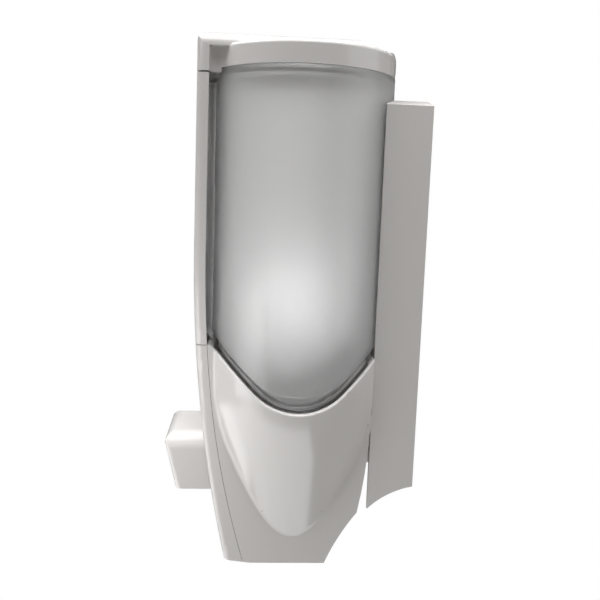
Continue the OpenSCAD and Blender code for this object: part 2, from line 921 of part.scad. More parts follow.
// the button's front on the pump's axis and the rod's end in its socket
button_high_z = button_top - 5.8;
button_face = -button_d + (button_high_z - pump_z) * tan(button_lean);
button_socket = button_face + 10.4;
rod_front = button_face + 6.4;

module piston() {
    color(grey)
        difference() {
            union() {
                pump_rod(rod_r, rod_front, piston_back - 1);
                pump_rod(bore_r - run_gap, piston_back - piston_l, piston_back);
            }
            for (y = seal_y)
                difference() {
                    pump_rod(bore_r + 1, y, y + 1.2);
                    pump_rod(bore_r - 1.3, y - 1, y + 3);
                }
        }
}

module piston_seals() {
    color(silicone)
        for (y = seal_y)
            difference() {
                pump_rod(bore_r - 0.02, y + 0.05, y + 1.15);
                pump_rod(bore_r - 1.28, y - 1, y + 3);
            }
}

spring_front = button_face + button_wall / cos(button_lean) + (spring_r + wire_r) * tan(button_lean) + 0.2;

module return_spring() {
    color(steel)
        translate([0, cap_front - 0.05, pump_z])
            rotate([90, 0, 0])
                coil(spring_r, wire_r, cap_front - 0.05 - spring_front, 7);
}

// ---- Push button ----

lip_t = 2;
lip_gap = 0.36;
button_rear = front_y(button_low - lip) + skin + lip_gap + lip_t;

// Side view of the button: the front leans back like the cover behind it
module button_side(inset) {
    low_r = max(1 - inset, 0.2);
    top_r = button_nose - inset;
    z0 = button_low + inset + low_r;
    z1 = button_top - inset - top_r;
    // distance of the leaning front line from the origin, moved in by inset
    reach = button_d * cos(button_lean) - button_high_z * sin(button_lean) - inset;
    rear = button_rear + (inset > 0 ? 1 : 0);
    polygon(concat(
        [[rear, button_low + inset]],
        [for (i = [0:6]) let(a = 270 - i * (90 - button_lean) / 6,
            y = -(reach - low_r + z0 * sin(button_lean)) / cos(button_lean))
            [y + low_r * cos(a), z0 + low_r * sin(a)]],
        [for (i = [0:8]) let(a = 180 + button_lean - i * (90 + button_lean) / 8,
            y = -(reach - top_r + z1 * sin(button_lean)) / cos(button_lean))
            [y + top_r * cos(a), z1 + top_r * sin(a)]],
        [[rear, button_top - inset]]));
}

// Front view of the button: the upper corners are rounded
module button_front(inset) {
    w = button_w / 2 - inset;
    r = button_round - inset;
    z0 = button_low + inset;
    z1 = button_top - inset;
    union() {
        translate([-w, z0])
            square([2 * w, z1 - r - z0]);
        translate([r - w, z0])
            square([2 * (w - r), z1 - z0]);
        for (s = [-1, 1])
            translate([s * (w - r), z1 - r])
                circle(r, $fn = 64);
    }
}

// Top view of the button: a slight bulge between two rounded corners
module button_plan(inset) {
    w = button_w / 2 - inset;
    r = button_edge - inset / 2;
    bulge_r = (pow(button_w / 2, 2) + pow(button_bulge, 2)) / (2 * button_bulge) - inset;
    corner_x = w - r;
    turn = asin(corner_x / (bulge_r - r));
    corner_y = (bulge_r - r) * cos(turn) - bulge_r;
    polygon(concat(
        [[-w, -60]],
        [for (i = [0:6]) let(a = 180 - i * (90 - turn) / 6)
            [r * cos(a) - corner_x, corner_y + r * sin(a)]],
        [for (i = [1:11]) let(a = 90 + turn - i * turn / 6)
            [bulge_r * cos(a), bulge_r * (sin(a) - 1)]],
        [for (i = [0:6]) let(a = (90 - turn) * (6 - i) / 6)
            [corner_x + r * cos(a), corner_y + r * sin(a)]],
        [[w, -60]]));
}

module button_form(inset) {
    intersection() {
        across(button_w + 2)
            button_side(inset);
        along(-button_d - 5, button_rear + 1)
            button_front(inset);
        // leaning column whose foremost line touches the button's front
        translate([0, -button_d, button_high_z])
            rotate([button_lean, 0, 0])
                translate([0, inset, -60])
                    rotate([0, 0, 180])
                        linear_extrude(120)
                            button_plan(inset);
    }
}

module push_button() {
    inner_w = button_w - 2 * button_wall;
    color(white)
        difference() {
            union() {
                difference() {
                    button_form(0);
                    button_form(button_wall);
                }
                // lips that keep the button behind its opening
                for (p = [[button_low - lip, 16], [button_top - 0.4, button_w / 2 - button_round - 1]])
                    translate([-p[1], front_y(p[0]) + skin + lip_gap, p[0]])
                        cube([2 * p[1], lip_t, lip + 0.4]);
                // socket of the piston rod
                intersection() {
                    pump_rod(4.2, button_face, button_socket);
                    button_form(button_wall / 2);
                }
                // two ribs between the socket and the side walls
                for (s = [-1, 1])
                    intersection() {
                        translate([s * (inner_w / 2 + 7) / 2 - (inner_w / 2 - 6) / 2, button_face, pump_z - 0.8])
                            cube([inner_w / 2 - 6, 4.5, 1.6]);
                        button_form(button_wall / 2);
                    }
            }
            pump_rod(rod_r + 0.01, rod_front, button_socket + 1);
        }
}

// ---- Lid ----

lid_low = rim_z + fit_gap;
lid_top = lid_low + lid_h + lid_round;
block_y = -body_d + edge_top;
ring_r = mouth_r + 0.7;
ring_t = 1.8;
spine_top = lid_top + spine_rise;

// Round lid with a rounded upper edge
module lid_disc() {
    translate([0, ax, 0])
        rotate_extrude($fn = 144)
            polygon(concat(
                [[0, lid_low], [tank_r, lid_low], [tank_r, lid_low + lid_h]],
                [for (i = [1:6]) let(a = i * 15)
                    [tank_r - lid_round + lid_round * cos(a), lid_low + lid_h + lid_round * sin(a)]],
                [[0, lid_top]]));
}

// Side view of the band on the lid: a rounded nose in front, a ramp at the back
module spine_side(inset) {
    z1 = spine_top - inset;
    y0 = -body_d + inset;
    r = nose_r - inset;
    ramp = ax + 18;
    // the hollow inside goes down into the round lid's own hollow
    low = inset > 0 ? lid_low + 3 : lid_top - 1.2;
    polygon(concat(
        [[ax, low], [block_y, low], [block_y, strip_top + lift_gap + inset],
            [y0, strip_top + lift_gap + inset]],
        [for (i = [0:6]) let(a = 180 - i * 15) [y0 + r + r * cos(a), z1 - r + r * sin(a)]],
        [for (i = [0:8]) let(a = i * 22.5)
            [ramp + i * 1.5, z1 - (spine_rise + 0.4) * (1 - cos(a)) / 2]],
        [[ramp + 12, low]]));
}

// Top view of the band on the lid: its two front corners are rounded like the strip's
module spine_plan(inset) {
    w = half - inset;
    r = band_round;
    y0 = -body_d + inset;
    union() {
        translate([-w, y0 + r])
            square([2 * w, body_d]);
        translate([r - w, y0])
            square([2 * (w - r), body_d]);
        for (s = [-1, 1])
            translate([s * (w - r), y0 + r])
                circle(r, $fn = 40);
    }
}

// Web that joins the front block to the round lid with a hollow rounding on both sides
module web() {
    reach_y = block_y + web_r;
    reach_x = sqrt(pow(tank_r + web_r, 2) - pow(reach_y - ax, 2));
    // the rounding ends where it meets the round lid
    share = (tank_r - 0.5) / (tank_r + web_r);
    z0 = strip_top + lift_gap;
    translate([0, 0, z0])
        linear_extrude(lid_top - 1 - z0)
            difference() {
                polygon(concat(
                    [for (s = [-1, 1]) [s * reach_x, block_y - 1]],
                    [for (k = [1, share]) [k * reach_x, ax + k * (reach_y - ax)]],
                    [for (k = [share, 1]) [-k * reach_x, ax + k * (reach_y - ax)]]));
                for (s = [-1, 1])
                    translate([s * reach_x, reach_y])
                        circle(web_r + 0.1, $fn = 96);
            }
}

// Front view of the band on the lid
module spine_front(inset) {
    w = half - inset;
    r = spine_round - inset;
    z1 = spine_top - inset;
    union() {
        translate([-w, rim_z - 3])
            square([2 * w, z1 - r - rim_z + 3]);
        translate([-w + r, rim_z - 3])
            square([2 * (w - r), z1 - rim_z + 3]);
        for (s = [-1, 1])
            translate([s * (w - r), z1 - r])
                circle(r, $fn = 48);
    }
}

module spine(inset) {
    intersection() {
        across(band_w + 2)
            spine_side(inset);
        along(-body_d - 1, 0)
            spine_front(inset);
        translate([0, 0, rim_z - 5])
            linear_extrude(30)
                spine_plan(inset);
    }
}

module lid() {
    roof = lid_top - lid_t;
    // half width of the part of the rim that lies behind the hinge axis
    roll_x = sqrt(pow(tank_r, 2) - pow(tank_r - hinge_in, 2)) - 0.3;
    color(white)
        difference() {
            union() {
                difference() {
                    union() {
                        lid_disc();
                        spine(0);
                        web();
                    }
                    // hollow underside
                    axial(tank_r - lid_t, lid_low - 1, roof, 144);
                    intersection() {
                        spine(lid_t);
                        axial(tank_r - lid_t - 4, lid_low, far, 144);
                    }
                    // the front block stands clear of the tank's rim
                    axial(tank_r + 0.6, rim_z - 5, lid_low, 144);
                    // the rear rim behind the hinge axis makes room for the roll
                    translate([-roll_x - 0.3, pin_y, lid_low - 1])
                        cube([2 * roll_x + 0.6, 20, pin_z - lid_low + 1]);
                }
                // ring that carries the seal
                difference() {
                    axial(ring_r + ring_t, lid_low + 1.4, roof + 1);
                    axial(ring_r, lid_low, roof + 2);
                }
                // rolled rear edge round the hinge axis
                intersection() {
                    translate([0, pin_y, pin_z])
                        rotate([0, 90, 0])
                            cylinder(r = roll_r, h = 2 * roll_x, center = true, $fn = 96);
                    axial(tank_r, lid_low - 1, lid_top, 144);
                }
            }
            // slots for the tank's ears
            for (s = [-1, 1])
                translate([s * (ear_x + ear_t / 2) - ear_t / 2 - 0.3, pin_y - 5.2, lid_low - 1])
                    cube([ear_t + 0.6, 20, pin_z + ear_r + 0.2 - lid_low + 1]);
            // hole of the hinge pin
            translate([0, pin_y, pin_z])
                rotate([0, 90, 0])
                    cylinder(r = pin_r + run_gap, h = 2 * (ear_x + ear_t) + 3, center = true, $fn = 40);
        }
}

module lid_seal() {
    color(silicone)
        difference() {
            axial(ring_r + ring_t, rim_z + 0.05, lid_low + 1.4);
            axial(ring_r, rim_z - 1, lid_low + 3);
        }
}

module hinge_pin() {
    color(steel)
        translate([0, pin_y, pin_z])
            rotate([0, 90, 0])
                cylinder(r = pin_r, h = 2 * (ear_x + ear_t), center = true, $fn = 40);
}

wall_bracket();
housing();
base_plate();
base_screws();
front_cover();
cover_screws();
front_strip();
tank();
tank_gasket();
tank_nut();
inlet_oring();
pump_body();
pump_screws();
pump_cap();
inlet_seat();
inlet_ball();
outlet_ball();
outlet_spring();
nozzle();
piston();
piston_seals();
return_spring();
push_button();
lid();
lid_seal();
hinge_pin();
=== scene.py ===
"""Finishes, light and camera of a wall mounted soap dispenser.

Laid out as a Blender add-on. Every size is in metres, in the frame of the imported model:
the wall is the plane y = 0, the dispenser stands out towards -y and +z is up.
"""

import json
import math

import bmesh
import bpy
from bpy.props import FloatProperty, FloatVectorProperty, PointerProperty
from mathutils import Matrix, Vector


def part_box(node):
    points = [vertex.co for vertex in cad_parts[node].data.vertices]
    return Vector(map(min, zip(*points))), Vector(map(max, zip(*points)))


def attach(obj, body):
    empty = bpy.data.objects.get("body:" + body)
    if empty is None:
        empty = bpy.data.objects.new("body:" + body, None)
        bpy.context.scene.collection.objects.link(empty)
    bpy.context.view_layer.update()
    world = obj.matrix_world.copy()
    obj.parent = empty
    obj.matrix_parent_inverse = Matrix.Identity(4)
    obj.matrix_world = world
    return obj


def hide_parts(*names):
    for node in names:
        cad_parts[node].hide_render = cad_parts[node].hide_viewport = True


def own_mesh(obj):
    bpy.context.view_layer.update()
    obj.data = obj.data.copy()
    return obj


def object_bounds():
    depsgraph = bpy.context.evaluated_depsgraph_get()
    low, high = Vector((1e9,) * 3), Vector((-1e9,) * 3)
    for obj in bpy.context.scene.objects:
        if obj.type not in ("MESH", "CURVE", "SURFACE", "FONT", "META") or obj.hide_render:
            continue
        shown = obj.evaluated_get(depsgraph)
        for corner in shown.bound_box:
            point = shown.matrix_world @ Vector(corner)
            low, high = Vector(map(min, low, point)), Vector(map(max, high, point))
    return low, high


bl_info = {
    "name": "Soap dispenser finishes",
    "version": (1, 0, 0),
    "blender": (4, 5, 0),
    "location": "3D View > Sidebar > Dispenser",
    "description": "Moulded plastic, frosted tank, metal and rubber of a wall mounted soap dispenser",
    "category": "Object",
}

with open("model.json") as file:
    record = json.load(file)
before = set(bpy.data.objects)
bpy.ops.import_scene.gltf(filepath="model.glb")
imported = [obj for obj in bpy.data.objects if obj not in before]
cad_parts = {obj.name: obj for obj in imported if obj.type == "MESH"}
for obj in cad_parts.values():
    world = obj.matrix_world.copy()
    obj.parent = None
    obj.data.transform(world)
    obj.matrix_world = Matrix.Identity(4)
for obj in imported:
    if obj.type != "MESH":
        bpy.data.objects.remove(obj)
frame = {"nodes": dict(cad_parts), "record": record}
CAD_BOX = [list(corner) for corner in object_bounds()]
MM = 0.001

# Nodes that show from outside, with the rounding that a mould leaves on their edges, in mm
WHITE_SHELLS = {
    "wall_bracket": 0.35,
    "housing": 0.3,
    "front_cover": 0.3,
    "front_strip": 0.3,
    "lid": 0.35,
    "push_button": 0.3,
    "base_plate": 0.25,
}

# Where the housing's round cup and its rim are found
TANK_AXIS_Y = sum(corner.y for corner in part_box("lid_seal")) / 2
SIDE_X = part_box("wall_bracket")[1].x
RIM_HIGH_Z = -20.5 * MM
RIM_LOW_Z = -46 * MM
RIM_NEAR_X = 18 * MM

# Cleaning of a node's triangles: points nearer than this are one, flatter edges go
SAME_POINT = 0.004 * MM
FLAT_ANGLE = math.radians(0.4)


def linear(code):
    """Turns an sRGB hex colour into the linear RGBA that shaders take."""
    parts = [int(code[i : i + 2], 16) / 255 for i in (0, 2, 4)]
    return [c / 12.92 if c <= 0.04045 else ((c + 0.055) / 1.055) ** 2.4 for c in parts] + [1.0]


# ---------------------------------------------------------------- settings


class DispenserPlastics(bpy.types.PropertyGroup):
    """Colours and surfaces of the moulded pieces."""

    white: FloatVectorProperty(
        name="White ABS",
        description="Colour of the glossy white shells",
        subtype="COLOR",
        size=4,
        min=0,
        max=1,
        default=linear("D2CFCE"),
    )
    white_aged: FloatVectorProperty(
        name="White ABS, aged",
        description="Slightly yellowed tone that drifts over the white shells",
        subtype="COLOR",
        size=4,
        min=0,
        max=1,
        default=linear("CECBC9"),
    )
    gloss: FloatProperty(
        name="Shell roughness",
        description="Roughness of the polished mould's surface",
        subtype="FACTOR",
        min=0,
        max=1,
        default=0.16,
    )
    frost: FloatVectorProperty(
        name="Frosted SAN",
        description="Tint of the frosted tank",
        subtype="COLOR",
        size=4,
        min=0,
        max=1,
        default=linear("F2F2F2"),
    )
    frost_roughness: FloatProperty(
        name="Frost roughness",
        description="Roughness of the etched tank surface",
        subtype="FACTOR",
        min=0,
        max=1,
        default=0.3,
    )


class DispenserStage(bpy.types.PropertyGroup):
    """Camera, light and floor."""

    azimuth: FloatProperty(
        name="Azimuth",
        description="Where the camera stands: 90 degrees looks straight at the dispenser's side",
        subtype="ANGLE",
        default=math.radians(86.0),
    )
    elevation: FloatProperty(
        name="Elevation",
        description="Height of the camera above the horizon, as an angle",
        subtype="ANGLE",
        default=math.radians(7.75),
    )
    roll: FloatProperty(
        name="Roll",
        description="Turn of the camera about its own line of sight",
        subtype="ANGLE",
        default=math.radians(2.1),
    )
    distance: FloatProperty(
        name="Distance",
        description="From the camera to the point that it aims at",
        unit="LENGTH",
        default=0.323,
    )
    aim: FloatVectorProperty(
        name="Aim",
        description="Point that the camera looks at",
        subtype="XYZ",
        size=3,
        default=(0.0, -0.0477, -0.0040),
    )
    lens: FloatProperty(
        name="Lens",
        description="Focal length for a 36 mm sensor, in millimetres",
        default=45.7,
    )
    daylight: FloatProperty(
        name="Daylight",
        description="Strength of the even light from all round",
        min=0,
        default=0.12,
    )
    seen_through: FloatProperty(
        name="Daylight behind the tank",
        description="Brightness of the surroundings that show through the frosted wall",
        min=0,
        default=0.32,
    )
    floor_drop: FloatProperty(
        name="Floor under the foot",
        description="How far the floor lies under the dispenser's foot",
        unit="LENGTH",
        default=0.45,
    )


# ---------------------------------------------------------------- helpers


def deselect():
    """Leaves nothing selected and no edit mode open."""
    if bpy.context.object is not None and bpy.context.object.mode != "OBJECT":
        bpy.ops.object.mode_set(mode="OBJECT")
    bpy.ops.object.select_all(action="DESELECT")


def pick(obj):
    """Makes obj the only selected and the active object."""
    deselect()
    obj.select_set(True)
    bpy.context.view_layer.objects.active = obj


def node(mat, kind, at=(0, 0), links=None, **settings):
    """Adds one shader node, sets its values and sockets, and links its inputs."""
    n = mat.node_tree.nodes.new(kind)
    n.location = at
    for key, value in settings.items():
        if hasattr(n, key):
            setattr(n, key, value)
        else:
            n.inputs[key.replace("_", " ")].default_value = value
    for socket, source in (links or {}).items():
        mat.node_tree.links.new(source, n.inputs[socket])
    return n


def new_material(name):
    """An empty node material with its output node."""
    mat = bpy.data.materials.new(name)
    mat.use_nodes = True
    mat.node_tree.nodes.clear()
    return mat, node(mat, "ShaderNodeOutputMaterial", (700, 0))


def finish_with(obj, mat):
    """Gives the whole object one material."""
    obj.data.materials.clear()
    obj.data.materials.append(mat)


def round_edges(obj, width, steps, wanted):
    """Rounds the edges whose middle and two face normals pass the test."""
    pick(obj)
    bpy.ops.object.mode_set(mode="EDIT")
    bpy.ops.mesh.select_mode(type="EDGE")
    bpy.ops.mesh.select_all(action="DESELECT")
    mesh = bmesh.from_edit_mesh(obj.data)
    for edge in mesh.edges:
        if len(edge.link_faces) == 2:
            middle = (edge.verts[0].co + edge.verts[1].co) / 2
            edge.select = wanted(middle, *[face.normal for face in edge.link_faces])
    bmesh.update_edit_mesh(obj.data)
    bpy.ops.mesh.bevel(offset=width * MM, segments=steps, profile=0.5, clamp_overlap=False)
    bpy.ops.object.mode_set(mode="OBJECT")


def on_scooped_rim(middle, one, other):
    """Outer edge of the housing's scooped rim: between the round cup and the rim's top."""
    outward = Vector((middle.x, middle.y - TANK_AXIS_Y, 0)).normalized()
    top, side = (one, other) if one.z > other.z else (other, one)
    return (
        abs(middle.x) > RIM_NEAR_X
        and RIM_LOW_Z < middle.z < RIM_HIGH_Z
        and top.z > 0.4
        and side.dot(outward) > 0.8
        and one.angle(other) > math.radians(40)
    )


def on_cup_crease(middle, one, other):
    """Hollow crease in which the round cup leaves the housing's flat side."""
    flat, round_side = (one, other) if abs(one.x) > abs(other.x) else (other, one)
    return (
        abs(flat.x) > 0.9995
        and abs(abs(middle.x) - SIDE_X) < 0.1 * MM
        and middle.z < RIM_HIGH_Z
        and math.radians(10) < flat.angle(round_side) < math.radians(75)
    )


# Larger roundings of single edges: width in mm, steps and the edges that get it
ROUNDED_EDGES = {"housing": ((0.9, 5, on_scooped_rim), (1.1, 4, on_cup_crease))}


def shell_copy(name, rounding, body, angle=32.0):
    """A merged copy of a CAD node that stands for it, its edges rounded by that many mm."""
    source = frame["nodes"][name]
    copy = bpy.data.objects.new(name + "_moulded", source.data.copy())
    bpy.context.scene.collection.objects.link(copy)
    pick(copy)
    bpy.ops.object.mode_set(mode="EDIT")
    bpy.ops.mesh.select_all(action="SELECT")
    bpy.ops.mesh.remove_doubles(threshold=SAME_POINT)
    bpy.ops.mesh.dissolve_limited(angle_limit=FLAT_ANGLE)
    bpy.ops.object.mode_set(mode="OBJECT")
    for width, steps, wanted in ROUNDED_EDGES.get(name, ()):
        round_edges(copy, width, steps, wanted)
    if rounding:
        bevel = copy.modifiers.new("Moulded edges", "BEVEL")
        bevel.width = rounding * MM
        bevel.segments = 2
        bevel.limit_method = "ANGLE"
        bevel.angle_limit = math.radians(angle)
        bevel.miter_outer = "MITER_ARC"
        bpy.ops.object.modifier_apply(modifier=bevel.name)
    bpy.ops.object.shade_smooth_by_angle(angle=math.radians(angle))
    weighted = copy.modifiers.new("Face weights", "WEIGHTED_NORMAL")
    weighted.keep_sharp = True
    bpy.ops.object.modifier_apply(modifier=weighted.name)
    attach(copy, body)
    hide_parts(name)
    return copy


def body_holding(name):
    """The body that a CAD node belongs to."""
    for body, members in frame["record"]["behaviour"]["bodies"].items():
        if name in members:
            return body
    raise RuntimeError(name + " is in no body")


# ---------------------------------------------------------------- materials


def uneven_roughness(mat, scale, detail, low, high):
    """Roughness that wanders between two values, in spots that the noise's scale sets."""
    place = node(mat, "ShaderNodeTexCoord", (-900, 0)).outputs["Object"]
    spots = node(mat, "ShaderNodeTexNoise", (-660, 0), {"Vector": place}, Scale=scale, Detail=detail)
    rough = node(
        mat,
        "ShaderNodeMapRange",
        (-360, 0),
        {"Value": spots.outputs["Fac"]},
        To_Min=low,
        To_Max=high,
    )
    return rough.outputs["Result"]


def glossy_abs():
    """Injection moulded white ABS from a polished mould: near white, with a broad soft gloss.

    The eye gets a faint drift of tone, a slight orange peel that bends the reflections,
    and finger smudges that change the gloss.
    """
    plastics = bpy.context.scene.dispenser_plastics
    mat, out = new_material("Glossy white ABS")
    place = node(mat, "ShaderNodeTexCoord", (-1100, 0)).outputs["Object"]
    drift = node(mat, "ShaderNodeTexNoise", (-860, 220), {"Vector": place}, Scale=22.0, Detail=3.0)
    tone = node(mat, "ShaderNodeMix", (-560, 220), {0: drift.outputs["Fac"]}, data_type="RGBA")
    tone.inputs[6].default_value = plastics.white
    tone.inputs[7].default_value = plastics.white_aged
    # finger smudges, about 20 mm wide
    smudge = node(mat, "ShaderNodeTexNoise", (-860, -40), {"Vector": place}, Scale=50.0, Detail=2.0)
    gloss = node(
        mat,
        "ShaderNodeMapRange",
        (-560, -40),
        {"Value": smudge.outputs["Fac"]},
        To_Min=plastics.gloss - 0.03,
        To_Max=plastics.gloss + 0.05,
    )
    # orange peel of the moulded skin, about 1.2 mm from crest to crest
    peel = node(mat, "ShaderNodeTexNoise", (-860, -300), {"Vector": place}, Scale=820.0, Detail=1.0)
    bump = node(
        mat,
        "ShaderNodeBump",
        (-560, -300),
        {"Height": peel.outputs["Fac"]},
        Strength=0.06,
        Distance=0.05 * MM,
    )
    shader = node(
        mat,
        "ShaderNodeBsdfPrincipled",
        (300, 0),
        {
            "Base Color": tone.outputs[2],
            "Roughness": gloss.outputs["Result"],
            "Normal": bump.outputs["Normal"],
        },
        IOR=1.53,
    )
    mat.node_tree.links.new(shader.outputs[0], out.inputs["Surface"])
    return mat


def frosted_san():
    """Frosted styrene-acrylonitrile, etched in the mould: cool, milky and half clear.

    The eye gets blurred light through the wall, a fine grain and a soft sheen.
    """
    plastics = bpy.context.scene.dispenser_plastics
    mat, out = new_material("Frosted SAN")
    place = node(mat, "ShaderNodeTexCoord", (-1100, 0)).outputs["Object"]
    # etched grain, drawn at 0.5 mm because the real 0.05 mm is too fine to show
    grain = node(mat, "ShaderNodeTexNoise", (-860, -300), {"Vector": place}, Scale=2000.0, Detail=2.0)
    bump = node(
        mat,
        "ShaderNodeBump",
        (-560, -300),
        {"Height": grain.outputs["Fac"]},
        Strength=0.1,
        Distance=0.05 * MM,
    )
    cloud = node(mat, "ShaderNodeTexNoise", (-860, 0), {"Vector": place}, Scale=28.0, Detail=3.0)
    rough = node(
        mat,
        "ShaderNodeMapRange",
        (-560, 0),
        {"Value": cloud.outputs["Fac"]},
        To_Min=plastics.frost_roughness - 0.05,
        To_Max=plastics.frost_roughness + 0.05,
    )
    shader = node(
        mat,
        "ShaderNodeBsdfPrincipled",
        (300, 0),
        {"Roughness": rough.outputs["Result"], "Normal": bump.outputs["Normal"]},
        Base_Color=plastics.frost,
        IOR=1.5,
        Transmission_Weight=0.8,
    )
    mat.node_tree.links.new(shader.outputs[0], out.inputs["Surface"])
    return mat


def natural_polypropylene():
    """Natural polypropylene, moulded: waxy, slightly see-through off-white with low gloss."""
    mat, out = new_material("Natural polypropylene")
    rough = uneven_roughness(mat, 180.0, 3.0, 0.38, 0.5)
    shader = node(
        mat,
        "ShaderNodeBsdfPrincipled",
        (300, 0),
        {"Roughness": rough},
        Base_Color=linear("DEDCD2"),
        IOR=1.49,
        Subsurface_Weight=0.2,
        Subsurface_Scale=0.6 * MM,
    )
    mat.node_tree.links.new(shader.outputs[0], out.inputs["Surface"])
    return mat


def grey_acetal():
    """Grey acetal, moulded: dense, satin and slick, for the sliding pump pieces and the nut."""
    mat, out = new_material("Grey acetal")
    rough = uneven_roughness(mat, 300.0, 4.0, 0.3, 0.42)
    shader = node(
        mat,
        "ShaderNodeBsdfPrincipled",
        (300, 0),
        {"Roughness": rough},
        Base_Color=linear("86898D"),
        IOR=1.48,
    )
    mat.node_tree.links.new(shader.outputs[0], out.inputs["Surface"])
    return mat


def silicone_rubber():
    """Translucent silicone, moulded: dull and soft, for the seals."""
    mat, out = new_material("Silicone rubber")
    # dust that clings to the seal, in specks of about 0.8 mm
    rough = uneven_roughness(mat, 1200.0, 2.0, 0.55, 0.75)
    shader = node(
        mat,
        "ShaderNodeBsdfPrincipled",
        (300, 0),
        {"Roughness": rough},
        Base_Color=linear("D3CCC2"),
        IOR=1.41,
        Subsurface_Weight=0.3,
        Subsurface_Scale=0.8 * MM,
    )
    mat.node_tree.links.new(shader.outputs[0], out.inputs["Surface"])
    return mat


def drawn_stainless():
    """Drawn and cold headed stainless steel: bright grey, with fine draw marks along its length."""
    mat, out = new_material("Drawn stainless steel")
    # draw marks about 0.3 mm apart
    rough = uneven_roughness(mat, 3300.0, 2.0, 0.2, 0.36)
    shader = node(
        mat,
        "ShaderNodeBsdfPrincipled",
        (300, 0),
        {"Roughness": rough},
        Base_Color=linear("C4C6C9"),
        Metallic=1.0,
    )
    mat.node_tree.links.new(shader.outputs[0], out.inputs["Surface"])
    return mat


# ---------------------------------------------------------------- operators


class DISPENSER_OT_white_shells(bpy.types.Operator):
    """Rounds the white shells' edges as a mould does and gives them glossy ABS"""

    bl_idname = "dispenser.white_shells"
    bl_label = "White shells"

    def execute(self, context):
        abs_plastic = glossy_abs()
        for name, rounding in WHITE_SHELLS.items():
            copy = shell_copy(name, rounding, body_holding(name))
            finish_with(copy, abs_plastic)
        return {"FINISHED"}


class DISPENSER_OT_frosted_tank(bpy.types.Operator):
    """Smooths the tank and gives it frosted SAN"""

    bl_idname = "dispenser.frosted_tank"
    bl_label = "Frosted tank"

    def execute(self, context):
        copy = shell_copy("tank", 0.2, "dispenser")
        finish_with(copy, frosted_san())
        return {"FINISHED"}


class DISPENSER_OT_pump(bpy.types.Operator):
    """Finishes the pump, its valves and what holds the tank"""

    bl_idname = "dispenser.pump"
    bl_label = "Pump pieces"

    def execute(self, context):
        natural = natural_polypropylene()
        grey = grey_acetal()
        rubber = silicone_rubber()
        for name in ("pump_body", "inlet_seat"):
            finish_with(frame["nodes"][name], natural)
        for name in ("pump_cap", "piston", "tank_nut"):
            finish_with(frame["nodes"][name], grey)
        for name in ("piston_seals", "inlet_oring", "tank_gasket"):
            finish_with(frame["nodes"][name], rubber)
        finish_with(shell_copy("nozzle", 0.15, "dispenser"), natural)
        finish_with(shell_copy("lid_seal", 0.3, "lid"), rubber)
        return {"FINISHED"}


# Springs: node, joint that presses it, which way its loose end goes, how far in mm
SPRINGS = (
    ("return_spring", "button_press", (0, 1, 0), 10.0),
    ("outlet_spring", "outlet_ball_drop", (0, 0, -1), 1.2),
)


class DISPENSER_OT_metal(bpy.types.Operator):
    """Finishes the screws, balls, springs and the hinge pin"""

    bl_idname = "dispenser.metal"
    bl_label = "Metal pieces"

    def execute(self, context):
        steel = drawn_stainless()
        for name in ("pump_screws", "cover_screws", "inlet_ball", "outlet_ball"):
            finish_with(frame["nodes"][name], steel)
        for name, joint, push, travel in SPRINGS:
            coil = shell_copy(name, 0, body_holding(name), angle=60.0)
            finish_with(coil, steel)
            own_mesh(coil)
        finish_with(shell_copy("hinge_pin", 0.2, "dispenser"), steel)
        finish_with(shell_copy("base_screws", 0.12, "dispenser"), steel)
        return {"FINISHED"}


# Soft lights: name, place, what it faces, width and height, watts, and what shows it:
# D is the dull part of a surface, G its gloss and T what is seen through the frosted wall
LIGHTS = (
    ("Overhead", (0.1, -0.1, 0.75), (0, -0.05, 0), (0.9, 0.9), 8.8, "DGT"),
    ("Key, from above", (-0.05, -0.15, 0.8), (0, -0.05, 0), (0.8, 0.8), 6.4, "DT"),
    ("Front, high", (-0.05, -0.5, 0.6), (0, -0.09, -0.05), (0.4, 0.3), 1.3, "DGT"),
    ("By the button", (0.08, -0.155, -0.045), (0.02, -0.09, -0.06), (0.07, 0.07), 0.055, "DG"),
    ("From the wall's side", (0.2, 0.6, 0.16), (0, -0.03, 0.05), (0.6, 0.5), 1.1, "DGT"),
    ("Low card", (0.31, -0.40, -0.44), (0.31, -0.40, 0), (0.48, 1.06), 4.4, "G"),
    ("Low card, in front", (-0.05, -0.68, -0.44), (-0.05, -0.68, 0), (0.4, 0.6), 2.8, "G"),
    ("Behind, low", (-0.6, -0.012, -0.09), (0, -0.05, 0), (0.11, 0.045), 0.115, "T"),
    ("Behind, tall", (-0.6, -0.037, 0.08), (0, -0.05, 0.03), (0.08, 0.32), 0.055, "T"),
    ("Behind, broad", (-0.6, 0.05, 0.17), (0, 0.05, 0.17), (1.3, 0.58), 0.85, "T"),
)


# The floor is this wide, and its shadow fades out between these distances from the middle
FLOOR_SIZE = 8.0
SHADOW_FADE = (0.1, 0.7)


